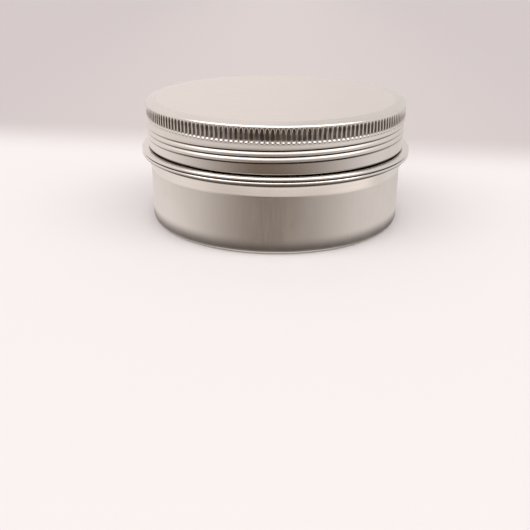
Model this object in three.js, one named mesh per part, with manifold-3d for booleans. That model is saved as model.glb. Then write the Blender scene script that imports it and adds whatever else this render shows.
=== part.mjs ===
// A screw-top candle tin, empty and closed: a drawn aluminium can, a screw lid with a knurled grip and a
// rolled thread, and the foam liner in the lid that seals against the rolled rim of the can's mouth.
// Millimetres, +Z up. The origin is the middle of the base, on the surface that the tin stands on.
// The front is -Y, and an azimuth is measured from the front, anticlockwise as seen from above.
import * as THREE from 'three';
import * as BufferGeometryUtils from 'three/addons/utils/BufferGeometryUtils.js';
import Module from 'manifold-3d';

const wasm = await Module();
wasm.setup();

// ---------------------------------------------------------------- driving dimensions
const HEIGHT = 39.1; // base to the flat top of the lid
const LID_RADIUS = 41.5; // over the crests of the knurled grip
const CAN_RADIUS = 40.6; // straight wall of the can
const BEAD_RADIUS = 43.4; // double bead that the lid stops on
const CAN_SHEET = 0.4;
const LID_SHEET = 0.45;
const LINER_THICKNESS = 1.0;
const CLEARANCE = 0.3; // left between pieces that rest on each other
const RIB_COUNT = 176; // knurl ribs round the lid
const THREAD_LEAD = 3.4; // how far the lid rises in one turn, right-handed
const THREAD_STARTS = 2;
const COLUMNS = 56; // flat facets round the tin

// ---------------------------------------------------------------- the lid's heights and radii
const SKIRT_RADIUS = LID_RADIUS - 0.15;
const LID_EDGE = 1.4; // rounding of the lid's top edge
const KNURL_TOP = HEIGHT - 1.5;
const KNURL_BOTTOM = HEIGHT - 5.6;
const KNURL_DEPTH = 0.28;
const WAIST_DEPTH = 0.3; // the skirt is this much narrower just under the ribs
const HEM_BOTTOM = 24.4; // lower edge of the closed lid
const HEM_ROLL = 0.3;

// ---------------------------------------------------------------- the rolled thread
const THREAD_TOP = HEIGHT - 7.5; // upper edge of the top groove at the front
const THREAD_PITCH = THREAD_LEAD / THREAD_STARTS;
const THREAD_HALF_RUN = THREE.MathUtils.degToRad(150);
const THREAD_FADE = THREE.MathUtils.degToRad(25);
const LID_GROOVES = 3;
const GROOVE_DEPTH = 0.6;
const GROOVE_FLOOR = 0.3; // below the groove's upper edge
const GROOVE_END = 1.15;
const NECK_RIDGES = 2;
const RIDGE_HEIGHT = 0.7;
const RIDGE_START = 0.23; // the ridge's outline, below the upper edge of the lid's groove
const RIDGE_TIP = 1.29;
const RIDGE_END = 1.64;

// ---------------------------------------------------------------- the can's heights and radii
const FOOT_CORNER = 2.2;
const FOOT_RING = 1.6; // width of the flat ring that the tin stands on
const PANEL_RISE = 0.6; // the base inside the ring is pressed up by this much
const WALL_TOP = 17.5; // where the wall begins to flare out to the bead
const LEDGE = 24.0; // top of the double bead, just under the closed lid's hem
const UPPER_ROLL = 0.6;
const LOWER_ROLL = 0.55;
const NECK_RADIUS = 39.8;
const RIM_ROLL = 0.7;
const LINER_TOP = HEIGHT - LID_SHEET - CLEARANCE;
const LINER_BOTTOM = LINER_TOP - LINER_THICKNESS;
const LINER_RADIUS = 40.2;
const RIM_TOP = LINER_BOTTOM - CLEARANCE;

// ---------------------------------------------------------------- outlines in radius and height
const point = (radius, height) => new THREE.Vector2(radius, height);

// Points along an arc: its angles are in degrees, anticlockwise from the outward direction.
function arc(radius, height, size, from, to, steps) {
  const points = [];
  for (let step = 0; step <= steps; step++) {
    const angle = THREE.MathUtils.degToRad(from + ((to - from) * step) / steps);
    points.push(point(radius + size * Math.cos(angle), height + size * Math.sin(angle)));
  }
  return points;
}

// The other face of a sheet: every corner of the outline moved to its left by the thickness, mitred.
function otherFace(outline, thickness) {
  return outline.map((corner, i) => {
    const arriving = (outline[i] ?? corner).clone().sub(outline[i - 1] ?? corner);
    const leaving = (outline[i + 1] ?? corner).clone().sub(corner);
    if (i === 0) arriving.copy(leaving);
    if (i === outline.length - 1) leaving.copy(arriving);
    const sideA = point(-arriving.y, arriving.x).normalize();
    const sideB = point(-leaving.y, leaving.x).normalize();
    const mitre = sideA.add(sideB).normalize();
    return corner.clone().addScaledVector(mitre, thickness / mitre.dot(sideB));
  });
}

// The thread at an azimuth: how far its helix has risen, and how deep it is. It runs most of the way round
// and fades out at the back, where its rows come down again on the plain wall.
function threadAt(azimuth) {
  const fromFront = Math.abs(azimuth);
  const depth = 1 - THREE.MathUtils.smoothstep(fromFront, THREAD_HALF_RUN - THREAD_FADE, THREAD_HALF_RUN);
  const end = (THREAD_LEAD * THREAD_HALF_RUN) / (2 * Math.PI);
  const descent = (Math.PI - fromFront) / (Math.PI - THREAD_HALF_RUN);
  const rise = end * Math.min(fromFront / THREAD_HALF_RUN, descent) * Math.sign(azimuth);
  return { depth, rise };
}

// The can: base panel, foot ring, wall, flare, double bead, ledge, threaded neck and the rim rolled inwards.
function canOutline(azimuth) {
  const { depth, rise } = threadAt(azimuth);
  const foot = CAN_RADIUS - FOOT_CORNER;
  const upperRoll = BEAD_RADIUS - UPPER_ROLL;
  const lowerRoll = upperRoll - 0.05;
  const outside = [
    point(0, PANEL_RISE),
    point(foot - FOOT_RING - 0.8, PANEL_RISE),
    point(foot - FOOT_RING, 0),
    ...arc(foot, FOOT_CORNER, FOOT_CORNER, -90, 0, 3),
    point(CAN_RADIUS, WALL_TOP),
    point(CAN_RADIUS + 0.1, WALL_TOP + 0.45),
    point(CAN_RADIUS + 1.4, WALL_TOP + 3.9),
    ...arc(lowerRoll, LEDGE - 1.7, LOWER_ROLL, -90, 50, 3),
    ...arc(upperRoll, LEDGE - UPPER_ROLL, UPPER_ROLL, -50, 90, 3),
    point(NECK_RADIUS + 0.4, LEDGE),
    point(NECK_RADIUS, LEDGE + 0.4),
  ];
  for (let ridge = NECK_RIDGES - 1; ridge >= 0; ridge--) {
    const edge = THREAD_TOP + rise - ridge * THREAD_PITCH;
    outside.push(point(NECK_RADIUS, edge - RIDGE_END));
    outside.push(point(NECK_RADIUS + RIDGE_HEIGHT * depth, edge - RIDGE_TIP));
    outside.push(point(NECK_RADIUS, edge - RIDGE_START));
  }
  outside.push(point(NECK_RADIUS, RIM_TOP - 2.2 * RIM_ROLL));
  const inside = otherFace(outside, CAN_SHEET).reverse();
  const rim = arc(NECK_RADIUS - RIM_ROLL, RIM_TOP - RIM_ROLL, RIM_ROLL, 0, 280, 7);
  return [...outside, ...rim, ...inside];
}

// The lid: flat top, rounded edge, grip, threaded skirt and the hem rolled at its lower edge.
function lidOutline(azimuth) {
  const { depth, rise } = threadAt(azimuth);
  const outside = [point(SKIRT_RADIUS, HEM_BOTTOM + 3 * HEM_ROLL)];
  for (let groove = LID_GROOVES - 1; groove >= 0; groove--) {
    const edge = THREAD_TOP + rise - groove * THREAD_PITCH;
    outside.push(point(SKIRT_RADIUS, edge - GROOVE_END));
    outside.push(point(SKIRT_RADIUS - GROOVE_DEPTH * depth, edge - GROOVE_FLOOR));
    outside.push(point(SKIRT_RADIUS, edge));
  }
  outside.push(point(SKIRT_RADIUS - WAIST_DEPTH, KNURL_BOTTOM - 0.3));
  outside.push(point(LID_RADIUS, KNURL_BOTTOM - 0.1));
  outside.push(...arc(LID_RADIUS - LID_EDGE, HEIGHT - LID_EDGE, LID_EDGE, 0, 90, 3));
  outside.push(point(0, HEIGHT));
  const inside = otherFace(outside, LID_SHEET).reverse();
  const hem = arc(SKIRT_RADIUS + 0.1 - HEM_ROLL, HEM_BOTTOM + HEM_ROLL, HEM_ROLL, -225, 50, 6);
  return [...inside, ...hem, ...outside];
}

function linerOutline() {
  const softened = 0.15;
  return [
    point(0, LINER_BOTTOM),
    point(LINER_RADIUS - softened, LINER_BOTTOM),
    point(LINER_RADIUS, LINER_BOTTOM + softened),
    point(LINER_RADIUS, LINER_TOP - softened),
    point(LINER_RADIUS - softened, LINER_TOP),
    point(0, LINER_TOP),
  ];
}

// ---------------------------------------------------------------- solids
// Only positions, with shared corners merged and the flat triangles on the axis dropped.
function weld(geometry) {
  geometry.deleteAttribute('normal');
  geometry.deleteAttribute('uv');
  const welded = BufferGeometryUtils.mergeVertices(geometry, 1e-4);
  const kept = [];
  for (let i = 0; i < welded.index.count; i += 3) {
    const corners = [0, 1, 2].map((corner) => welded.index.getX(i + corner));
    if (new Set(corners).size === 3) kept.push(...corners);
  }
  welded.setIndex(kept);
  return welded;
}

// A turned solid whose outline may change with the azimuth. Its outside runs upwards.
function turned(outlineAt) {
  const rows = outlineAt(0).length;
  const geometry = new THREE.LatheGeometry(outlineAt(0), COLUMNS);
  const position = geometry.getAttribute('position');
  for (let column = 0; column <= COLUMNS; column++) {
    const turn = (column % COLUMNS) / COLUMNS;
    const azimuth = 2 * Math.PI * (turn > 0.5 ? turn - 1 : turn);
    outlineAt(azimuth).forEach(({ x: radius, y: height }, row) => {
      const index = column * rows + row;
      position.setXYZ(index, radius * Math.sin(azimuth), height, radius * Math.cos(azimuth));
    });
  }
  geometry.rotateX(Math.PI / 2);
  return weld(geometry);
}

// The metal that the knurling wheel presses away: a ring with a toothed inner outline.
function knurlCutter() {
  const ring = new THREE.Shape().absarc(0, 0, LID_RADIUS + 1, 0, 2 * Math.PI);
  const teeth = [];
  for (let corner = 0; corner < 2 * RIB_COUNT; corner++) {
    const radius = corner % 2 === 0 ? LID_RADIUS + 0.05 : LID_RADIUS - KNURL_DEPTH;
    const angle = (Math.PI * corner) / RIB_COUNT;
    teeth.push(point(radius * Math.cos(angle), radius * Math.sin(angle)));
  }
  ring.holes.push(new THREE.Path(teeth));
  const depth = KNURL_TOP - KNURL_BOTTOM;
  const cutter = new THREE.ExtrudeGeometry(ring, { depth, bevelEnabled: false, curveSegments: 32 });
  cutter.translate(0, 0, KNURL_BOTTOM);
  return weld(cutter);
}

const toManifold = (geometry) =>
  new wasm.Manifold(
    new wasm.Mesh({
      numProp: 3,
      vertProperties: new Float32Array(geometry.getAttribute('position').array),
      triVerts: new Uint32Array(geometry.index.array),
    }),
  );

function cutAway(geometry, cutter) {
  const mesh = toManifold(geometry).subtract(toManifold(cutter)).getMesh();
  const result = new THREE.BufferGeometry();
  result.setAttribute('position', new THREE.BufferAttribute(new Float32Array(mesh.vertProperties), 3));
  result.setIndex([...mesh.triVerts]);
  return result;
}

// ---------------------------------------------------------------- materials
const aluminium = () => new THREE.MeshStandardMaterial({ color: 0xd6d0ca, roughness: 0.3, metalness: 1 });
const foam = () => new THREE.MeshStandardMaterial({ color: 0xf2f0ea, roughness: 0.9, metalness: 0 });

// ---------------------------------------------------------------- assembly
function piece(name, geometry, material) {
  geometry.computeVertexNormals();
  const mesh = new THREE.Mesh(geometry, material);
  mesh.name = name;
  return mesh;
}

const tin = new THREE.Group();
tin.name = 'candle_tin';
tin.add(piece('tin_body', turned(canOutline), aluminium()));
tin.add(piece('screw_lid', cutAway(turned(lidOutline), knurlCutter()), aluminium()));
tin.add(piece('lid_liner', turned(linerOutline), foam()));

export default tin;
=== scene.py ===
# %% [markdown]
# # A screw-top candle tin in aluminium
# The real tin is three pieces. The can and the lid are each pressed and rolled out of one disc of thin
# sheet, and a disc of white foam sits in the lid and seals on the can's rim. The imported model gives
# every size and joint. This script makes the fine sheet-metal surface around it: ribs, rolled threads,
# beads, hems and the finish. It is laid out in cells. Each step says what it makes, and why it is made
# that way.

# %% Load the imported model
import math

import bpy
import numpy as np
from mathutils import Matrix, Vector


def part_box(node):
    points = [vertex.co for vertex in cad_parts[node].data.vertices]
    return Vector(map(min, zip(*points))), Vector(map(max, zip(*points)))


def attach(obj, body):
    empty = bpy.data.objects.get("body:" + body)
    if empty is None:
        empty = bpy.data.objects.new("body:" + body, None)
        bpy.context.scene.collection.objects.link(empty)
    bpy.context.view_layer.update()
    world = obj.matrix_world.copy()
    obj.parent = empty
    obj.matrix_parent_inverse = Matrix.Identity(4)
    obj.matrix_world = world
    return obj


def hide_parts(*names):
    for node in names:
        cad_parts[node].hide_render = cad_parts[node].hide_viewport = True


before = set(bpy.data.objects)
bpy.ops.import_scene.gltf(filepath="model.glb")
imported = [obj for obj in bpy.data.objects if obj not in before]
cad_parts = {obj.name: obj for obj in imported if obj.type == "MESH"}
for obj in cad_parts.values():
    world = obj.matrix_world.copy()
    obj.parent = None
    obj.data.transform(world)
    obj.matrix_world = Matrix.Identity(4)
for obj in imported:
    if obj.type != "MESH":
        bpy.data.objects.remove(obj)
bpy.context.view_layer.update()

# %% [markdown]
# ## Sizes
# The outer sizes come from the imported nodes, so the fine surface lies where the model says. What the
# nodes' boxes can't tell, such as the depth of a rib, is named here once in millimetres.

# %% Sizes from the frame
MM = 0.001
tin_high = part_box("tin_body")[1]
lid_low, lid_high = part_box("screw_lid")
liner_low, liner_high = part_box("lid_liner")

LID_RADIUS = lid_high.x
LID_TOP = lid_high.z
HEM_BOTTOM = lid_low.z
BEAD_RADIUS = tin_high.x
RIM_TOP = tin_high.z
print("lid diameter", round(2 * LID_RADIUS / MM, 1), "mm; closed height", round(LID_TOP / MM, 1), "mm")

# %% [markdown]
# The features below are a fraction of a millimetre deep. They follow the lid's top, its hem and the
# bead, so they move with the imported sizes.

# %% Sizes of the sheet-metal features
SHEET = 0.35 * MM  # thickness of both can and lid
RIB_COUNT = 176  # knurl ribs round the lid
RIB_DEPTH = 0.42 * MM
KNURL_TOP = LID_TOP - 1.3 * MM
KNURL_BOTTOM = LID_TOP - 5.6 * MM
SKIRT_RADIUS = LID_RADIUS - 0.15 * MM
LID_EDGE = 4 * MM  # how wide the lid's rounded edge is, seen from above
LID_EDGE_DROP = 1.25 * MM
WAIST_DEPTH = 0.3 * MM  # the neck-in just under the ribs
HEM_ROLL = 0.42 * MM
HEM_TOP = HEM_BOTTOM + HEM_ROLL + 0.05 * MM
SKIRT_STEP = 0.22 * MM  # the skirt steps in below the thread and widens again to the hem

THREAD_LEAD = 3.4 * MM  # how far the lid rises in one turn
THREAD_PITCH = THREAD_LEAD / 2  # two starts
THREAD_TOP = LID_TOP - 7.5 * MM
THREAD_HALF_RUN = math.radians(150)
THREAD_FADE = math.radians(25)
GROOVES = 2  # the step under them makes a third line
GROOVE_DEPTH = 0.42 * MM
STEEP_FLANK = 0.36 * MM  # height of the flank that carries the pull
EASY_FLANK = 0.95 * MM
LID_THREAD_HEIGHT = 4.75 * MM
NECK_THREAD_HEIGHT = 3.6 * MM
RIDGES = 2
RIDGE_HEIGHT = 0.65 * MM

CAN_RADIUS = BEAD_RADIUS - 2.8 * MM
FOOT_CORNER = 1.9 * MM
FOOT_RING = 1.6 * MM
PANEL_RISE = 0.6 * MM
WALL_TOP = HEM_BOTTOM - 6.85 * MM
LEDGE = HEM_BOTTOM - 0.34 * MM
ROLL = 0.58 * MM  # radius of each of the two rolls in the bead
UPPER_ROLL = LEDGE - ROLL
LOWER_ROLL = UPPER_ROLL - 1.16 * MM
NECK_RADIUS = CAN_RADIUS - 0.8 * MM
RIM_ROLL = 0.7 * MM

# %% [markdown]
# ## The camera
# The camera stands a hand's breadth above the tin and a forearm away, and looks down at it at 23
# degrees. A roll of a third of a degree is all the tilt it has.

# %% Camera
CAMERA_PLACE = Vector((0, -251.1 * MM, 86.1 * MM))
CAMERA_PITCH = math.radians(22.97)
CAMERA_YAW = math.radians(0.72)
CAMERA_ROLL = math.radians(0.34)
CAMERA_LENS = 52.7


def add_camera():
    """The scene's camera, turned to its yaw, then its pitch, then its roll about its own line of sight."""
    data = bpy.data.cameras.new("camera")
    data.lens = CAMERA_LENS
    data.clip_start = 0.01
    camera = bpy.data.objects.new("camera", data)
    bpy.context.scene.collection.objects.link(camera)
    turn = (
        Matrix.Rotation(CAMERA_YAW, 4, "Z")
        @ Matrix.Rotation(math.pi / 2 - CAMERA_PITCH, 4, "X")
        @ Matrix.Rotation(CAMERA_ROLL, 4, "Z")
    )
    camera.matrix_world = Matrix.Translation(CAMERA_PLACE) @ turn
    bpy.context.scene.camera = camera
    return camera


add_camera()

# %% [markdown]
# ## Modelling by hand: a line, a spin, a thickness
# A spun metal shape is drawn the way a metal spinner's template is cut: one line in profile, turned
# round the axis. The line starts as a tiny plane merged into a single vertex, which is then extruded
# from point to point. Spin turns the line into a surface, and Solidify gives the surface the sheet's
# thickness, so walls, rolls and threads all keep one thickness, as they do in sheet.

# %% Helpers for drawing and spinning


def deselect_everything():
    """Back to object mode with nothing selected, because an operator acts on all that is selected."""
    if bpy.context.object and bpy.context.object.mode != "OBJECT":
        bpy.ops.object.mode_set(mode="OBJECT")
    bpy.ops.object.select_all(action="DESELECT")


def profile_point(radius, height):
    """A point of a profile: profiles are drawn in the plane where y is 0."""
    return Vector((radius, 0, height))


def arc(radius, height, size, start, end, steps):
    """Points round an arc. Angles are in degrees, anticlockwise from straight outwards."""
    points = []
    for step in range(steps + 1):
        angle = math.radians(start + (end - start) * step / steps)
        points.append(profile_point(radius + size * math.cos(angle), height + size * math.sin(angle)))
    return points


def draw_profile(name, points):
    """A chain of edges through the points, extruded from one vertex. Leaves the piece in edit mode."""
    deselect_everything()
    bpy.ops.mesh.primitive_plane_add(size=MM, location=points[0])
    piece = bpy.context.object
    piece.name = name
    bpy.ops.object.transform_apply(location=True, rotation=True, scale=True)
    bpy.ops.object.mode_set(mode="EDIT")
    bpy.ops.mesh.select_all(action="SELECT")
    bpy.ops.mesh.merge(type="CENTER")
    for here, there in zip(points, points[1:]):
        bpy.ops.mesh.extrude_region_move(TRANSFORM_OT_translate={"value": there - here})
    return piece


def spin_round(piece, steps):
    """Turns the selected profile once round the upright axis and closes it."""
    bpy.ops.mesh.select_all(action="SELECT")
    bpy.ops.mesh.spin(steps=steps, angle=2 * math.pi, center=(0, 0, 0), axis=(0, 0, 1))
    weld(piece)


def weld(piece):
    """Merges vertices that lie on each other and turns the faces outwards. Ends in object mode."""
    bpy.ops.mesh.select_all(action="SELECT")
    bpy.ops.mesh.remove_doubles(threshold=0.002 * MM)
    bpy.ops.mesh.normals_make_consistent(inside=False)
    bpy.ops.object.mode_set(mode="OBJECT")
    print(piece.name, "has", len(piece.data.vertices), "vertices after welding")


def thicken(piece, thickness):
    """Gives a surface the sheet's thickness, inwards, and shades it smooth."""
    bpy.ops.object.modifier_add(type="SOLIDIFY")
    solidify = piece.modifiers[-1]
    solidify.thickness = thickness
    solidify.offset = -1
    bpy.ops.object.modifier_apply(modifier=solidify.name)
    bpy.ops.object.shade_smooth_by_angle(angle=math.radians(50))


# %% [markdown]
# ## The rolled thread
# The thread is rolled into the lid and the can's neck together, so both are a wave in the sheet that
# climbs to the right round the tin. It is easiest to spin the wave level first and then let each point
# rise with its azimuth. No operator leans rows round a cylinder, so the points are moved in code. The
# wave is a smooth sawtooth: a short steep flank that carries the pull, and a long easy one. It fades
# out at the back, where its rows come down again.

# %% Helpers for the thread


def smooth_step(value):
    """0 below 0, 1 above 1, and a smooth climb between."""
    value = np.clip(value, 0, 1)
    return value * value * (3 - 2 * value)


def groove_share(below):
    """How deep a groove of the lid is, from 0 to 1, at a distance below its upper edge."""
    steep = smooth_step(below / STEEP_FLANK)
    easy = smooth_step((below - 0.34 * MM) / EASY_FLANK)
    return float(steep * (1 - easy))


def ridge_height(below):
    """Height of the neck's ridge, which lies in the lid's groove with room to turn."""
    easy = smooth_step((below - 0.25 * MM) / EASY_FLANK)
    steep = smooth_step((below - 1.25 * MM) / (0.38 * MM))
    return RIDGE_HEIGHT * float(easy * (1 - steep))


def thread_at(azimuth):
    """How far the helix has risen at each azimuth from the front, and how deep the thread is there."""
    from_front = np.abs(azimuth)
    depth = 1 - smooth_step((from_front - THREAD_HALF_RUN + THREAD_FADE) / THREAD_FADE)
    end = THREAD_LEAD * THREAD_HALF_RUN / (2 * math.pi)
    descent = (math.pi - from_front) / (math.pi - THREAD_HALF_RUN)
    rise = end * np.minimum(from_front / THREAD_HALF_RUN, descent) * np.sign(azimuth)
    return rise, depth


def lean_thread(piece, plain_radius, span, full):
    """Lets the wave inside the span climb with the azimuth. It leans fully inside the full heights."""
    count = len(piece.data.vertices)
    place = np.empty(count * 3)
    piece.data.vertices.foreach_get("co", place)
    place = place.reshape(count, 3)
    radius = np.hypot(place[:, 0], place[:, 1])
    height = place[:, 2].copy()
    azimuth = np.arctan2(place[:, 0], -place[:, 1])
    rise, depth = thread_at(azimuth)
    near_wall = np.abs(radius - plain_radius) < 1.2 * MM
    inside = near_wall & (height > span[0]) & (height < span[1])
    ease_in = np.clip((height - span[0]) / (full[0] - span[0]), 0, 1)
    ease_out = np.clip((span[1] - height) / (span[1] - full[1]), 0, 1)
    share = np.minimum(ease_in, ease_out) * inside
    wave = inside & (height > full[0]) & (height < full[1])
    faded = np.where(wave, plain_radius + (radius - plain_radius) * depth, radius)
    scale = faded / np.maximum(radius, MM)
    place[:, 0] *= scale
    place[:, 1] *= scale
    place[:, 2] = height + rise * share
    piece.data.vertices.foreach_set("co", place.ravel())
    piece.data.update()
    print(piece.name, "thread rises", round(THREAD_LEAD / MM, 2), "mm a turn")


# %% [markdown]
# ## The can
# The can is drawn from a disc into a cup with a small foot radius and a base pressed up inside a narrow
# ring, so that it stands without rocking. Under the lid its wall flares out, is folded into a double
# bead that the lid stops on, and comes back in to the threaded neck. Its rim is rolled inwards, so it
# is smooth to the fingers and gives the liner something round to seal on. All of that is one profile.

# %% The can's profile


def neck_profile(bottom, top):
    """The threaded neck, from its foot to its top, in rows close enough to carry the ridges."""
    rows = 72
    points = []
    for row in range(rows + 1):
        height = bottom + (top - bottom) * row / rows
        out = sum(ridge_height(THREAD_TOP - ridge * THREAD_PITCH - height) for ridge in range(RIDGES))
        points.append(profile_point(NECK_RADIUS + out, height))
    return points


def can_profile():
    """The outer face of the can, from the middle of the base to the end of the rolled rim."""
    foot = CAN_RADIUS - FOOT_CORNER
    roll_middle = BEAD_RADIUS - ROLL
    flare_foot = profile_point(CAN_RADIUS, WALL_TOP)
    wall_end = profile_point(CAN_RADIUS, WALL_TOP - 0.4 * MM)
    underside = profile_point(roll_middle - 0.72 * MM, LOWER_ROLL - 0.42 * MM)
    bead_start = underside + profile_point(0.3 * MM, 0.08 * MM)
    return [
        profile_point(0, PANEL_RISE),
        profile_point(foot - FOOT_RING - 1.6 * MM, PANEL_RISE),
        *ease_between(foot - FOOT_RING - 1.5 * MM, PANEL_RISE, foot - FOOT_RING, 0, 6),
        *arc(foot, FOOT_CORNER, FOOT_CORNER, -90, 0, 12),
        *bend(wall_end, flare_foot, flare_foot.lerp(underside, 0.16), 6),
        flare_foot.lerp(underside, 0.55),
        *bend(flare_foot.lerp(underside, 0.8), underside, bead_start, 5),
        *arc(roll_middle - 0.05 * MM, LOWER_ROLL, ROLL, -125, 78, 14),
        *arc(roll_middle, UPPER_ROLL, ROLL, -78, 90, 12),
        *arc(NECK_RADIUS + 0.5 * MM, LEDGE + 0.5 * MM, 0.5 * MM, -90, -180, 5),
    ]


def ease_between(radius_a, height_a, radius_b, height_b, steps):
    """Points on a soft step from one radius and height to another."""
    points = []
    for step in range(steps + 1):
        share = step / steps
        height = height_a + (height_b - height_a) * float(smooth_step(share))
        points.append(profile_point(radius_a + (radius_b - radius_a) * share, height))
    return points


def bend(start, corner, end, steps):
    """Points on a quadratic curve that leaves start towards the corner and arrives at end from it."""
    points = []
    for step in range(steps + 1):
        share = step / steps
        points.append(start.lerp(corner, share).lerp(corner.lerp(end, share), share))
    return points


# %% [markdown]
# The whole can is one line from the middle of the base to the end of the rolled rim. It is spun in 264
# columns, fine enough that the rolls' highlights stay smooth. The thread leans after the spin, and the
# thickness comes last, so that the inside of the neck shows the same thread.

# %% Spin the can and roll its thread
CAN_COLUMNS = 264
neck_bottom = LEDGE + 0.6 * MM
neck_top = RIM_TOP - RIM_ROLL - 0.1 * MM
rim = arc(NECK_RADIUS - RIM_ROLL, RIM_TOP - RIM_ROLL, RIM_ROLL, 0, 300, 20)
can = draw_profile("drawn_can", can_profile() + neck_profile(neck_bottom, neck_top) + rim)
spin_round(can, CAN_COLUMNS)
lean_thread(
    can,
    NECK_RADIUS,
    span=(neck_bottom + 0.1 * MM, neck_top - 0.2 * MM),
    full=(THREAD_TOP - NECK_THREAD_HEIGHT, THREAD_TOP),
)
thicken(can, SHEET)
print("can faces:", len(can.data.polygons))

# %% [markdown]
# ## The lid
# The lid is made as three bands, then bridged into one sheet: the flat top with its rounded edge, the
# knurled grip, and the skirt with the thread and the hem. The grip needs four times as many columns as
# the rest, and a rib repeats 176 times, so one rib is modelled alone and spun round as copies.

# %% The top and the skirt
LID_COLUMNS = 2 * RIB_COUNT


def top_profile():
    """The flat top and its rounded edge, down to where the ribs begin."""
    middle = LID_RADIUS - LID_EDGE
    points = [profile_point(radius, LID_TOP) for radius in (0, middle * 0.6, middle - 0.8 * MM)]
    steps = 18
    for step in range(steps + 1):
        angle = math.radians(90 - 84 * step / steps)
        height = LID_TOP - LID_EDGE_DROP * (1 - math.sin(angle))
        points.append(profile_point(middle + LID_EDGE * math.cos(angle), height))
    return points


def skirt_radius(height):
    """The skirt's radius at a height: the waist under the ribs, the grooves, then the step."""
    waist = WAIST_DEPTH * float(smooth_step((height - THREAD_TOP) / (KNURL_BOTTOM - THREAD_TOP)))
    shares = [groove_share(THREAD_TOP - number * THREAD_PITCH - height) for number in range(GROOVES)]
    step_top = THREAD_TOP - GROOVES * THREAD_PITCH
    narrowing = float(smooth_step((step_top - height) / STEEP_FLANK))
    widening = float(np.clip((height - HEM_TOP) / (step_top - HEM_TOP), 0, 1))
    below = SKIRT_STEP * narrowing * widening
    return SKIRT_RADIUS - waist - GROOVE_DEPTH * sum(shares) - below


def skirt_profile():
    """The plain band under the ribs, the threaded wall and the hem rolled in at the bottom."""
    lip = KNURL_BOTTOM - 0.12 * MM
    band_top = KNURL_BOTTOM - 0.45 * MM
    thread_end = THREAD_TOP - 4.6 * MM
    points = [profile_point(LID_RADIUS - 0.02 * MM, lip)]
    points += ease_radius(LID_RADIUS - 0.04 * MM, skirt_radius(band_top), lip - 0.05 * MM, band_top, 4)
    bands = (band_top, THREAD_TOP, 6), (THREAD_TOP, thread_end, 46), (thread_end, HEM_TOP, 4)
    for top, bottom, rows in bands:
        for row in range(1, rows + 1):
            height = top + (bottom - top) * row / rows
            points.append(profile_point(skirt_radius(height), height))
    return points + arc(SKIRT_RADIUS - HEM_ROLL, HEM_BOTTOM + HEM_ROLL, HEM_ROLL, 4, -200, 12)


def ease_radius(radius_a, radius_b, height_a, height_b, steps):
    """Points on a soft step of radius between two heights."""
    points = []
    for step in range(steps + 1):
        share = step / steps
        radius = radius_a + (radius_b - radius_a) * float(smooth_step(share))
        points.append(profile_point(radius, height_a + (height_b - height_a) * share))
    return points


lid_top = draw_profile("lid_top", top_profile())
spin_round(lid_top, LID_COLUMNS)
lid_skirt = draw_profile("lid_skirt", skirt_profile())
spin_round(lid_skirt, LID_COLUMNS)

# %% [markdown]
# One groove of the knurl is as wide as a rib's pitch. It is a strip of eight columns, pressed in like a
# thumb in clay: deepest in the middle, pointed like an arch at the top and rounded off at the bottom.
# Each vertex is scaled towards the axis by its own depth.

# %% One groove, then all of them
GROOVE_ROWS = (0, 0.05, 0.1, 0.16, 0.24, 0.5, 0.76, 0.84, 0.9, 0.95, 1)
COLUMNS_PER_RIB = 8
ROUNDED_END = 0.24  # share of a groove's length over which each end is rounded off
RIB_CREST = 0.18  # half of this share of the pitch, on each side of a rib, stays at full height
RIB_FLANK = 0.42
ARCH = 0.4  # how much narrower a groove is at its top end


def press_of(across, along):
    """How deep the groove is, from 0 to 1, at a place across it and along it, both from 0 to 1."""
    from_rib = 1 - abs(2 * across - 1)
    top_end = max(0, 1 - along / ROUNDED_END)
    bottom_end = max(0, 1 - (1 - along) / ROUNDED_END)
    crest = RIB_CREST + ARCH * top_end
    pressed = float(smooth_step((from_rib - crest) / RIB_FLANK))
    return pressed * (1 - top_end ** 5) * (1 - bottom_end ** 2.5)


def model_groove():
    """A strip one rib wide, with its inner columns pressed in towards the axis."""
    pitch = 2 * math.pi / RIB_COUNT
    height_of = [KNURL_TOP + (KNURL_BOTTOM - KNURL_TOP) * row for row in GROOVE_ROWS]
    strip = draw_profile("knurl_band", [profile_point(LID_RADIUS, height) for height in height_of])
    bpy.ops.mesh.select_all(action="SELECT")
    bpy.ops.mesh.spin(steps=COLUMNS_PER_RIB, angle=pitch, center=(0, 0, 0), axis=(0, 0, 1))
    bpy.ops.mesh.select_all(action="DESELECT")
    bpy.ops.object.mode_set(mode="OBJECT")
    presses = []
    for vertex in strip.data.vertices:
        across = math.atan2(vertex.co.y, vertex.co.x) / pitch
        along = (KNURL_TOP - vertex.co.z) / (KNURL_TOP - KNURL_BOTTOM)
        presses.append((vertex.index, press_of(round(abs(across), 4), along)))
    for index, press in presses:
        if press <= 0:
            continue
        strip.data.vertices[index].select = True
        bpy.ops.object.mode_set(mode="EDIT")
        share = 1 - RIB_DEPTH * press / LID_RADIUS
        bpy.ops.transform.resize(value=(share, share, 1), center_override=(0, 0, 0))
        bpy.ops.mesh.select_all(action="DESELECT")
        bpy.ops.object.mode_set(mode="OBJECT")
    return strip


def repeat_round(strip, copies):
    """Copies the strip round the axis by spinning it as duplicates, and welds the copies together."""
    bpy.ops.object.mode_set(mode="EDIT")
    bpy.ops.mesh.select_all(action="SELECT")
    sweep = 2 * math.pi * (copies - 1) / copies
    bpy.ops.mesh.spin(steps=copies - 1, dupli=True, angle=sweep, center=(0, 0, 0), axis=(0, 0, 1))
    weld(strip)


knurl = model_groove()
repeat_round(knurl, RIB_COUNT)

# %% [markdown]
# The grip's column count is a multiple of the other bands' count, so an edge loop of one can be bridged
# to an edge loop of the next. That keeps the lid one closed sheet, as it is when pressed, with no seam
# at the ribs.

# %% Bridge the three bands


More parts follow.
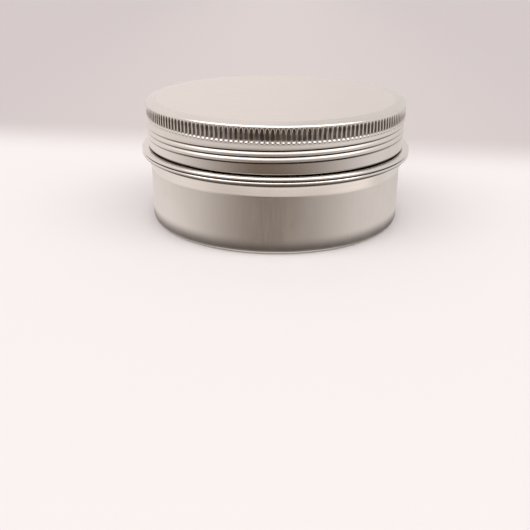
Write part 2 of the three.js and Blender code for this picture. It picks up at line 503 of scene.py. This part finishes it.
def join_pieces(pieces, name):
    """Joins pieces into one object under a new name."""
    deselect_everything()
    for piece in pieces:
        piece.select_set(True)
    bpy.context.view_layer.objects.active = pieces[0]
    bpy.ops.object.join()
    pieces[0].name = name
    return pieces[0]


def bridge_at(piece, heights):
    """Bridges the two open loops that lie nearest the two heights."""
    bpy.ops.object.mode_set(mode="EDIT")
    bpy.ops.mesh.select_mode(type="EDGE")
    bpy.ops.mesh.select_all(action="DESELECT")
    bpy.ops.mesh.select_non_manifold(extend=False)
    bpy.ops.object.mode_set(mode="OBJECT")
    vertices = piece.data.vertices
    for edge in piece.data.edges:
        middle = (vertices[edge.vertices[0]].co.z + vertices[edge.vertices[1]].co.z) / 2
        edge.select = edge.select and any(abs(middle - height) < 0.01 * MM for height in heights)
    bpy.ops.object.mode_set(mode="EDIT")
    before = len(piece.data.polygons)
    bpy.ops.mesh.bridge_edge_loops()
    bpy.ops.mesh.select_mode(type="VERT")
    bpy.ops.object.mode_set(mode="OBJECT")
    print(piece.name, "bridge adds", len(piece.data.polygons) - before, "faces")


lid = join_pieces([lid_top, knurl, lid_skirt], "knurled_lid")
edge_end = top_profile()[-1].z
skirt_start = skirt_profile()[0].z
bridge_at(lid, (edge_end, KNURL_TOP))
bridge_at(lid, (KNURL_BOTTOM, skirt_start))
bpy.ops.object.mode_set(mode="EDIT")
weld(lid)
lean_thread(
    lid,
    SKIRT_RADIUS,
    span=(HEM_BOTTOM + 1.05 * MM, KNURL_BOTTOM - 0.6 * MM),
    full=(THREAD_TOP - LID_THREAD_HEIGHT, THREAD_TOP + 0.05 * MM),
)
thicken(lid, SHEET)
print("lid faces:", len(lid.data.polygons))

# %% [markdown]
# ## The liner
# The liner is a disc die-cut from a sheet of white foam and pressed into the lid. Its cut edge is
# square and a little soft, and the can's rim leaves a shallow ring in its underside.

# %% Model the liner
LINER_COLUMNS = 192


def liner_profile():
    """The whole outline of the foam disc, with the ring that the rim has pressed into its underside."""
    soft = 0.15 * MM
    radius = liner_high.x - 0.02 * MM
    bottom = liner_low.z
    top = liner_high.z
    seat = NECK_RADIUS - RIM_ROLL
    ring = [
        profile_point(seat + 0.9 * MM * place, bottom + 0.12 * MM * (1 - place * place))
        for place in np.linspace(-1, 1, 9)
    ]
    return [
        profile_point(0, bottom),
        profile_point(seat - 3 * MM, bottom),
        *ring,
        *arc(radius - soft, bottom + soft, soft, -90, 0, 4),
        *arc(radius - soft, top - soft, soft, 0, 90, 4),
        profile_point(0, top),
    ]


liner = draw_profile("foam_liner", liner_profile())
spin_round(liner, LINER_COLUMNS)
bpy.ops.object.shade_smooth_by_angle(angle=math.radians(50))
print("liner faces:", len(liner.data.polygons))

# %% [markdown]
# ## The bodies
# Each piece rides on the body that carries its imported node and takes that node's place. The can
# stays, the liner rises, and the lid rises and turns.

# %% Hang each piece on its body
for piece, body, node, slot in (
    (can, "tin", "tin_body", "can_aluminium"),
    (lid, "lid", "screw_lid", "lid_aluminium"),
    (liner, "liner", "lid_liner", "liner_foam"),
):
    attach(piece, body)
    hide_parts(node)

# %% [markdown]
# ## Node trees
# The finishes are all node trees, so a few short helpers make the nodes and link them. An effect that
# both pieces of metal show is a node group, made once, with named inputs and outputs.

# %% Helpers for node trees


def plug(tree, socket, value):
    """Gives an input a plain value, or links another node's output to it."""
    if isinstance(value, bpy.types.NodeSocket):
        tree.links.new(value, socket)
    else:
        socket.default_value = value


def add_math(tree, operation, first, second=0.0):
    """A Math node's result."""
    node = tree.nodes.new("ShaderNodeMath")
    node.operation = operation
    plug(tree, node.inputs[0], first)
    plug(tree, node.inputs[1], second)
    return node.outputs["Value"]


def add_step(tree, value, start, end, low=0.0, high=1.0):
    """A smooth change from low to high while the value goes from start to end."""
    node = tree.nodes.new("ShaderNodeMapRange")
    node.interpolation_type = "SMOOTHSTEP"
    plug(tree, node.inputs["Value"], value)
    plug(tree, node.inputs["From Min"], start)
    plug(tree, node.inputs["From Max"], end)
    plug(tree, node.inputs["To Min"], low)
    plug(tree, node.inputs["To Max"], high)
    return node.outputs["Result"]


def add_mix(tree, share, first, second):
    """A mix of two colours: the first where the share is 0, the second where it is 1."""
    node = tree.nodes.new("ShaderNodeMix")
    node.data_type = "RGBA"
    colours = [socket for socket in node.inputs if socket.type == "RGBA"]
    plug(tree, node.inputs["Factor"], share)
    plug(tree, colours[0], first)
    plug(tree, colours[1], second)
    return next(socket for socket in node.outputs if socket.type == "RGBA")


def add_blend(tree, share, first, second):
    """A mix of two numbers: the first where the share is 0, the second where it is 1."""
    node = tree.nodes.new("ShaderNodeMix")
    plug(tree, node.inputs["Factor"], share)
    plug(tree, node.inputs["A"], first)
    plug(tree, node.inputs["B"], second)
    return node.outputs["Result"]


def add_noise(tree, position, stretch, detail):
    """Noise between 0 and 1. The stretch is how many waves there are in a metre along each axis."""
    scaled = tree.nodes.new("ShaderNodeVectorMath")
    scaled.operation = "MULTIPLY"
    plug(tree, scaled.inputs[0], position)
    plug(tree, scaled.inputs[1], stretch)
    noise = tree.nodes.new("ShaderNodeTexNoise")
    noise.inputs["Scale"].default_value = 1
    noise.inputs["Detail"].default_value = detail
    tree.links.new(scaled.outputs["Vector"], noise.inputs["Vector"])
    return noise.outputs["Factor"] if "Factor" in noise.outputs else noise.outputs["Fac"]


def highest(tree, masks):
    """The highest of several masks."""
    top = masks[0]
    for mask in masks[1:]:
        top = add_math(tree, "MAXIMUM", top, mask)
    return top


def new_group(name, inputs, outputs):
    """An empty node group with the named sockets, its tree, its input node and its output node."""
    tree = bpy.data.node_groups.new(name, "ShaderNodeTree")
    for label, kind in inputs:
        tree.interface.new_socket(label, in_out="INPUT", socket_type=kind)
    for label in outputs:
        tree.interface.new_socket(label, in_out="OUTPUT", socket_type="NodeSocketFloat")
    return tree, tree.nodes.new("NodeGroupInput"), tree.nodes.new("NodeGroupOutput")


def use_group(tree, group, values):
    """A node that runs the group, with its inputs plugged."""
    node = tree.nodes.new("ShaderNodeGroup")
    node.node_tree = group
    for label, value in values.items():
        plug(tree, node.inputs[label], value)
    return node


def new_material(name):
    """A material with its nodes on, its tree and its Principled shader."""
    material = bpy.data.materials.new(name)
    material.use_nodes = True
    return material, material.node_tree, material.node_tree.nodes["Principled BSDF"]


# %% [markdown]
# ## What can be seen on the sheet
# Sheet aluminium is rolled, so it carries fine straight lines. Drawing it into a cup pulls those lines
# upright on the wall, and the rollers that make the thread and the bead draw new ones round the tin.
# All are one stretched noise. Over it lie a fine satin grain, hairline scratches and the soft marks of
# fingers. Three-dimensional noise has no seam, so it suits a round tin better than a picture wrapped
# round it.

# %% Node groups for the sheet


def lines_group():
    """Fine lines: Lines is between 0 and 1, drawn out along the axis with the fewest waves."""
    tree, given, made = new_group(
        "sheet_lines", [("Position", "NodeSocketVector"), ("Waves", "NodeSocketVector")], ["Lines"]
    )
    lines = add_noise(tree, given.outputs["Position"], given.outputs["Waves"], 3)
    plug(tree, made.inputs["Lines"], add_step(tree, lines, 0.3, 0.7))
    return tree


def grain_group():
    """The satin grain: Grain is fine speckle and Dapple is the slow unevenness of the sheet."""
    tree, given, made = new_group("satin_grain", [("Position", "NodeSocketVector")], ["Grain", "Dapple"])
    position = given.outputs["Position"]
    plug(tree, made.inputs["Grain"], add_noise(tree, position, (4200, 4200, 4200), 2))
    plug(tree, made.inputs["Dapple"], add_noise(tree, position, (70, 70, 70), 3))
    return tree


def marks_group():
    """Marks of use: Scratches is 1 on a hairline, Smudges is 1 where fingers have dulled the metal."""
    tree, given, made = new_group(
        "marks_of_use", [("Position", "NodeSocketVector")], ["Scratches", "Smudges"]
    )
    position = given.outputs["Position"]
    hairlines = []
    for waves in ((230, 14, 24), (16, 250, 30), (60, 90, 9)):
        from_middle = add_math(tree, "SUBTRACT", add_noise(tree, position, waves, 0), 0.5)
        curve = add_math(tree, "ABSOLUTE", from_middle)
        hairlines.append(add_step(tree, curve, 0.0, 0.002, 1.0, 0.0))
    every = highest(tree, hairlines)
    somewhere = add_step(tree, add_noise(tree, position, (110, 120, 100), 2), 0.54, 0.62)
    plug(tree, made.inputs["Scratches"], add_math(tree, "MULTIPLY", every, somewhere))
    plug(tree, made.inputs["Smudges"], add_step(tree, add_noise(tree, position, (48, 52, 55), 4), 0.5, 0.72))
    return tree


def band_group():
    """Inside is 1 between two heights and 0 outside them, with soft ends."""
    tree, given, made = new_group(
        "height_band",
        [(label, "NodeSocketFloat") for label in ("Height", "Low", "High", "Edge")],
        ["Inside"],
    )
    height, low, high, edge = (given.outputs[label] for label in ("Height", "Low", "High", "Edge"))
    rise_start = add_math(tree, "SUBTRACT", low, edge)
    rise_end = add_math(tree, "ADD", low, edge)
    fall_start = add_math(tree, "SUBTRACT", high, edge)
    fall_end = add_math(tree, "ADD", high, edge)
    above = add_step(tree, height, rise_start, rise_end)
    below = add_step(tree, height, fall_start, fall_end, 1.0, 0.0)
    plug(tree, made.inputs["Inside"], add_math(tree, "MULTIPLY", above, below))
    return tree


SHEET_LINES = lines_group()
SATIN_GRAIN = grain_group()
MARKS_OF_USE = marks_group()
HEIGHT_BAND = band_group()
print("node groups:", sorted(group.name for group in bpy.data.node_groups))


def add_distance(tree, position):
    """The distance from the tin's upright axis."""
    level = tree.nodes.new("ShaderNodeVectorMath")
    level.operation = "MULTIPLY"
    plug(tree, level.inputs[0], position)
    level.inputs[1].default_value = (1, 1, 0)
    length = tree.nodes.new("ShaderNodeVectorMath")
    length.operation = "LENGTH"
    plug(tree, length.inputs[0], level.outputs["Vector"])
    return length.outputs["Value"]


def add_band(tree, value, low, high, edge):
    """1 between two values and 0 outside them."""
    values = {"Height": value, "Low": low, "High": high, "Edge": edge}
    return use_group(tree, HEIGHT_BAND, values).outputs["Inside"]


# %% [markdown]
# ## The metal
# Can and lid are the same bare aluminium, polished differently from band to band. The tools rub the
# bead, the ribs and the hem bright, and the thread a little. The wall, the lid's top and the plain band
# under the ribs stay satin. Each material is given those bands as a list of heights. Painted
# shade darkens the colour between the ribs, along the thread, in the bead's creases and at the foot.

# %% The aluminium
CLEAN_METAL = (0.915, 0.89, 0.86, 1)
DULL_METAL = (0.80, 0.77, 0.735, 1)
# Painted shade: the near-black metal that is mixed in wherever shade is painted into the colour.
PAINTED_SHADE_METAL = (0.06, 0.046, 0.037, 1)
DULLED_BY_SMUDGES = 0.25
DULLED_BY_LINES = 0.2
DULLED_BY_GRAIN = 0.45
BURNISHED = 0.13  # roughness where the tools have rubbed
BURNISHED_GRAIN = 0.12  # how much of the satin grain is left there
SATIN = 0.38
WORN_SATIN = 0.35  # the thread, rubbed less hard than the rolls
ROUND_LINES = (45, 45, 3600)
UPRIGHT_LINES = (3200, 3200, 130)
ROLLED_LINES = (80, 2800, 80)
BAND_EDGE = 0.03 * MM
# The thread's dark lines are painted shade, laid between these two depths below each groove's edge.
LINE_START = 0.06 * MM  # a thread groove's dark line starts this far below the groove's edge
LINE_END = 0.62 * MM
BUMP_DEPTH = 0.004 * MM


def aluminium(name, bands, painted_shade_of):
    """Bare aluminium. Each band is its two heights, the run of its lines and its roughness."""
    material, tree, shader = new_material(name)
    position = tree.nodes.new("ShaderNodeTexCoord").outputs["Object"]
    split = tree.nodes.new("ShaderNodeSeparateXYZ")
    plug(tree, split.inputs["Vector"], position)
    height = split.outputs["Z"]
    lines = use_group(tree, SHEET_LINES, {"Position": position, "Waves": ROUND_LINES}).outputs["Lines"]
    roughness = BURNISHED
    satin = BURNISHED_GRAIN
    for low, high, waves, band_roughness in bands:
        inside = add_band(tree, height, low, high, BAND_EDGE)
        band_lines = use_group(tree, SHEET_LINES, {"Position": position, "Waves": waves})
        lines = add_blend(tree, inside, lines, band_lines.outputs["Lines"])
        roughness = add_blend(tree, inside, roughness, band_roughness)
        satin = add_blend(tree, inside, satin, 1.0)
    grain = use_group(tree, SATIN_GRAIN, {"Position": position})
    marks = use_group(tree, MARKS_OF_USE, {"Position": position})
    # The mask of painted shade for this piece.
    painted_shade = painted_shade_of(tree, position, height)

    dulled = add_math(tree, "MULTIPLY", marks.outputs["Smudges"], DULLED_BY_SMUDGES)
    dulled = add_math(tree, "ADD", dulled, add_math(tree, "MULTIPLY", lines, DULLED_BY_LINES))
    by_grain = add_math(tree, "MULTIPLY", grain.outputs["Grain"], DULLED_BY_GRAIN)
    dulled = add_math(tree, "ADD", dulled, by_grain)
    metal = add_mix(tree, dulled, CLEAN_METAL, DULL_METAL)
    # The painted shade is mixed into the colour here; the same mask also raises the roughness below.
    plug(tree, shader.inputs["Base Color"], add_mix(tree, painted_shade, metal, PAINTED_SHADE_METAL))
    shader.inputs["Metallic"].default_value = 1

    for mask, change in (
        (lines, 0.045),
        (grain.outputs["Grain"], 0.05),
        (grain.outputs["Dapple"], 0.05),
        (marks.outputs["Smudges"], 0.08),
        (marks.outputs["Scratches"], 0.1),
        (painted_shade, 0.2),
    ):
        roughness = add_math(tree, "ADD", roughness, add_math(tree, "MULTIPLY", mask, change))
    plug(tree, shader.inputs["Roughness"], add_math(tree, "SUBTRACT", roughness, 0.06))

    surface = add_math(tree, "ADD", lines, add_math(tree, "MULTIPLY", grain.outputs["Grain"], 1.5))
    surface = add_math(tree, "MULTIPLY", surface, satin)
    scratched = add_math(tree, "MULTIPLY", marks.outputs["Scratches"], 1.2)
    surface = add_math(tree, "SUBTRACT", surface, scratched)
    bump = tree.nodes.new("ShaderNodeBump")
    bump.inputs["Distance"].default_value = BUMP_DEPTH
    plug(tree, bump.inputs["Height"], surface)
    plug(tree, shader.inputs["Normal"], bump.outputs["Normal"])
    return material


def add_azimuth(tree, position):
    """The azimuth round the tin, 0 at the front and growing to the right, in radians."""
    split = tree.nodes.new("ShaderNodeSeparateXYZ")
    plug(tree, split.inputs["Vector"], position)
    return add_math(tree, "ARCTAN2", split.outputs["X"], add_math(tree, "MULTIPLY", split.outputs["Y"], -1.0))


def lid_painted_shade(tree, position, height):
    """Painted shade between the ribs and under each of their grooves, along the thread, and under the hem."""
    azimuth = add_azimuth(tree, position)
    distance = add_distance(tree, position)
    # Painted shade on the floor of each groove between the ribs, uneven in patches.
    deep = add_step(tree, distance, LID_RADIUS - 0.7 * RIB_DEPTH, LID_RADIUS - 0.25 * RIB_DEPTH, 1.0, 0.0)
    knurl_band = add_band(tree, height, KNURL_BOTTOM + 0.45 * MM, KNURL_TOP - 0.05 * MM, 0.2 * MM)
    patchy = add_step(tree, add_noise(tree, position, (600, 600, 500), 3), 0.2, 0.7, 0.66, 0.92)
    between_ribs = add_math(tree, "MULTIPLY", add_math(tree, "MULTIPLY", deep, knurl_band), patchy)

    # Painted shade just under the lower end of each groove, where the sheet turns to face down.
    rib_wave = add_math(tree, "COSINE", add_math(tree, "MULTIPLY", azimuth, float(RIB_COUNT)))
    under_groove = add_step(tree, rib_wave, -0.8, 0.1, 0.85, 0.0)
    lip = add_band(tree, height, KNURL_BOTTOM - 0.32 * MM, KNURL_BOTTOM - 0.02 * MM, 0.1 * MM)
    lip = add_math(tree, "MULTIPLY", lip, under_groove)

    # Painted shade along the upper flank of each thread groove, strongest at the front and falling to about a
    # third at the sides.
    climb = add_math(tree, "MULTIPLY", azimuth, THREAD_LEAD / (2 * math.pi))
    on_thread = add_math(tree, "SUBTRACT", height, climb)
    lines = []
    for groove in range(GROOVES + 1):
        top = THREAD_TOP - groove * THREAD_PITCH
        lines.append(add_band(tree, on_thread, top - LINE_END, top - LINE_START, 0.08 * MM))
    aside = add_math(tree, "ABSOLUTE", azimuth)
    front_weight = add_step(tree, aside, math.radians(25), math.radians(75), 1.0, 0.3)
    fade = add_step(tree, aside, THREAD_HALF_RUN - THREAD_FADE, THREAD_HALF_RUN, 1.0, 0.0)
    thread = add_math(tree, "MULTIPLY", highest(tree, lines), add_math(tree, "MULTIPLY", front_weight, fade))

    # Painted shade over the hem's roll.
    hem = add_math(tree, "MULTIPLY", add_band(tree, height, HEM_BOTTOM - MM, HEM_TOP, 0.06 * MM), 0.72)
    return highest(tree, [between_ribs, lip, thread, hem])


def can_painted_shade(tree, position, height):
    """Painted shade: dark in the crease between the bead's two rolls and in the fold under them, grey at the
    foot.
    """
    # Painted shade in the crease between the two rolls of the bead.
    crease = add_band(tree, height, LOWER_ROLL + 0.54 * MM, UPPER_ROLL - 0.16 * MM, 0.08 * MM)
    # Painted shade in the fold under the lower roll.
    fold = add_band(tree, height, LOWER_ROLL - 1.25 * MM, LOWER_ROLL - 0.12 * MM, 0.2 * MM)
    # Painted shade that darkens the wall towards the foot, in patches, and leaves the lowest half millimetre
    # almost clear.
    low_down = add_step(tree, height, 1.3 * MM, 5.5 * MM, 0.8, 0.0)
    low_down = add_math(tree, "MULTIPLY", low_down, add_step(tree, height, 0.5 * MM, 1.1 * MM, 0.1, 1.0))
    patchy = add_step(tree, add_noise(tree, position, (150, 150, 260), 2), 0.2, 0.8, 0.9, 1.0)
    return highest(tree, [crease, fold, add_math(tree, "MULTIPLY", low_down, patchy)])


lid.data.materials.append(
    aluminium(
        "lid_sheet",
        bands=[
            (LID_TOP - 0.04 * MM, LID_TOP + MM, ROLLED_LINES, SATIN),
            (THREAD_TOP, KNURL_BOTTOM, ROUND_LINES, SATIN + 0.06),
            (THREAD_TOP - NECK_THREAD_HEIGHT, THREAD_TOP, ROUND_LINES, WORN_SATIN),
        ],
        painted_shade_of=lid_painted_shade,
    )
)
can.data.materials.append(
    aluminium("can_sheet", bands=[(0, WALL_TOP, UPRIGHT_LINES, SATIN)], painted_shade_of=can_painted_shade)
)

# %% [markdown]
# ## The foam
# The liner is expanded polyethylene foam: white, dull, and full of closed cells a third of a millimetre
# across that stand up as tiny blisters. A Voronoi pattern is just such a packing of cells.

# %% The foam
CLEAN_FOAM = (0.9, 0.89, 0.87, 1)
YELLOWED_FOAM = (0.83, 0.81, 0.77, 1)


def foam_material():
    """White closed-cell foam, a little yellower and duller in patches."""
    material, tree, shader = new_material("white_foam")
    position = tree.nodes.new("ShaderNodeTexCoord").outputs["Object"]
    cells = tree.nodes.new("ShaderNodeTexVoronoi")
    cells.inputs["Scale"].default_value = 3000
    plug(tree, cells.inputs["Vector"], position)
    patches = add_noise(tree, position, (90, 90, 90), 4)
    plug(tree, shader.inputs["Base Color"], add_mix(tree, patches, CLEAN_FOAM, YELLOWED_FOAM))
    plug(tree, shader.inputs["Roughness"], add_step(tree, patches, 0.2, 0.8, 0.72, 0.92))
    bump = tree.nodes.new("ShaderNodeBump")
    bump.invert = True
    bump.inputs["Distance"].default_value = 0.08 * MM
    plug(tree, bump.inputs["Height"], cells.outputs["Distance"])
    plug(tree, shader.inputs["Normal"], bump.outputs["Normal"])
    return material


liner.data.materials.append(foam_material())

# %% [markdown]
# ## The studio
# Bare metal is a picture of what stands round it, so the studio is painted on the world, direction by
# direction: a wide soft light overhead, pale walls, and the unlit room in front, where the viewer
# stands. That gives the dark middle of the wall and the thin bright line along every roll. The floor is
# one pale plane with painted shade a tone darker far behind, and a painted pool of light in the middle
# of that far part. The metal doesn't reflect the floor, since the world already holds it.

# %% The floor
FLOOR_SIZE = 8
NEAR_PAINT = (0.69, 0.685, 0.7, 1)
# Painted shade: the far part of the floor is painted a tone darker.
FAR_SHADED_PAINT = (0.478, 0.455, 0.467, 1)
# Painted light: a paler pool in the middle of that far part.
FAR_PAINTED_LIGHT = (0.52, 0.496, 0.5, 1)
TONE_CHANGE = (0.058, 0.12)  # how far behind the tin the floor's tone changes
TONE_SLANT = 0.14


def floor_paint_and_shade():
    """Matt paint, pale round the tin, and painted shade a tone darker beyond a soft edge behind it, paler in
    its middle as a painted pool of light.
    """
    material, tree, shader = new_material("matt_paint_and_painted_shade")
    position = tree.nodes.new("ShaderNodeTexCoord").outputs["Object"]
    split = tree.nodes.new("ShaderNodeSeparateXYZ")
    plug(tree, split.inputs["Vector"], position)
    x, y = split.outputs["X"], split.outputs["Y"]
    behind = add_math(tree, "ADD", y, add_math(tree, "MULTIPLY", x, TONE_SLANT))
    # Painted shade beyond the soft edge, with a painted pool of light where it lies behind the tin's middle.
    far = add_step(tree, behind, *TONE_CHANGE)
    aside = add_step(tree, add_math(tree, "ABSOLUTE", x), 0.0, 0.2)
    beyond = add_mix(tree, aside, FAR_PAINTED_LIGHT, FAR_SHADED_PAINT)
    plug(tree, shader.inputs["Base Color"], add_mix(tree, far, NEAR_PAINT, beyond))
    grit = add_noise(tree, position, (500, 500, 500), 3)
    plug(tree, shader.inputs["Roughness"], add_step(tree, grit, 0, 1, 0.9, 1.0))
    shader.inputs["Specular IOR Level"].default_value = 0
    return material


bpy.ops.mesh.primitive_plane_add(size=FLOOR_SIZE, location=(0, 0, 0))
floor = bpy.context.object
floor.name = "floor"
floor.visible_glossy = False
floor.data.materials.append(floor_paint_and_shade())

# %% [markdown]
# The overhead light is a wide strip from side to side, so it draws one thin line along each roll. The
# unlit room ahead darkens the wall's middle and fades to both sides. A lower, paler zone lights the
# flare, which faces down.

# %% The light
OVERHEAD_LIGHT = (3.0, 2.84, 2.74, 1)
LIGHT_FROM_FRONT = (54, 92)  # over the top, from the front's horizon
PALE_UPPER = (0.82, 0.75, 0.722, 1)
SHADED_UPPER = (0.715, 0.665, 0.64, 1)
PALE_LOWER = (1.02, 0.925, 0.865, 1)
UNLIT_ROOM = (0.15, 0.109, 0.08, 1)
UNDER_TABLE = (0.11, 0.088, 0.072, 1)
LEFT_OF_FRONT = 6  # all the angles here are in degrees
UNLIT_HEIGHTS = (-53, 2)
UNLIT_FADE = (2, 112)
TABLE_HEIGHTS = (-57, -36)
TABLE_BEHIND = (110, 145)
LOWER_TO_UPPER = (-50, -22)
LIGHT_ENDS = (0.74, 0.9)  # the overhead light ends where x of the direction is here


def add_studio():
    """The world as a soft studio, painted by each direction's elevation and azimuth."""
    world = bpy.data.worlds.new("studio")
    bpy.context.scene.world = world
    world.use_nodes = True
    tree = world.node_tree
    split = tree.nodes.new("ShaderNodeSeparateXYZ")
    plug(tree, split.inputs["Vector"], tree.nodes.new("ShaderNodeTexCoord").outputs["Generated"])
    x, y, z = (split.outputs[axis] for axis in "XYZ")
    elevation = add_math(tree, "ARCSINE", z)
    azimuth = add_math(tree, "ARCTAN2", x, add_math(tree, "MULTIPLY", y, -1.0))
    from_front = add_math(tree, "ABSOLUTE", add_math(tree, "ADD", azimuth, math.radians(LEFT_OF_FRONT)))

    to_right = add_step(tree, x, -0.02, 0.09)
    upper = add_mix(tree, to_right, PALE_UPPER, SHADED_UPPER)
    walls = add_mix(tree, add_step(tree, elevation, *radians(LOWER_TO_UPPER)), PALE_LOWER, upper)
    table_ring = add_ring(tree, elevation, *TABLE_HEIGHTS, 7)
    behind = add_step(tree, from_front, *radians(TABLE_BEHIND))
    walls = add_mix(tree, add_math(tree, "MULTIPLY", table_ring, behind), walls, UNDER_TABLE)
    ahead = add_step(tree, from_front, *radians(UNLIT_FADE), 1.0, 0.0)
    unlit = add_math(tree, "MULTIPLY", ahead, add_ring(tree, elevation, *UNLIT_HEIGHTS, 10))
    walls = add_mix(tree, unlit, walls, UNLIT_ROOM)

    over_the_top = add_math(tree, "ARCTAN2", z, add_math(tree, "MULTIPLY", y, -1.0))
    strip = add_ring(tree, over_the_top, *LIGHT_FROM_FRONT, 5)
    strip_end = add_step(tree, add_math(tree, "ABSOLUTE", x), *LIGHT_ENDS, 1.0, 0.0)
    overhead = add_math(tree, "MULTIPLY", strip, strip_end)
    colour = add_mix(tree, overhead, walls, OVERHEAD_LIGHT)
    plug(tree, tree.nodes["Background"].inputs["Color"], colour)


def radians(pair):
    """Two angles in degrees as radians."""
    return [math.radians(angle) for angle in pair]


def add_ring(tree, elevation, low, high, edge):
    """1 between two elevations in degrees and 0 outside them, with soft ends."""
    return add_band(tree, elevation, math.radians(low), math.radians(high), math.radians(edge))


add_studio()
bpy.context.scene.view_settings.view_transform = "Standard"
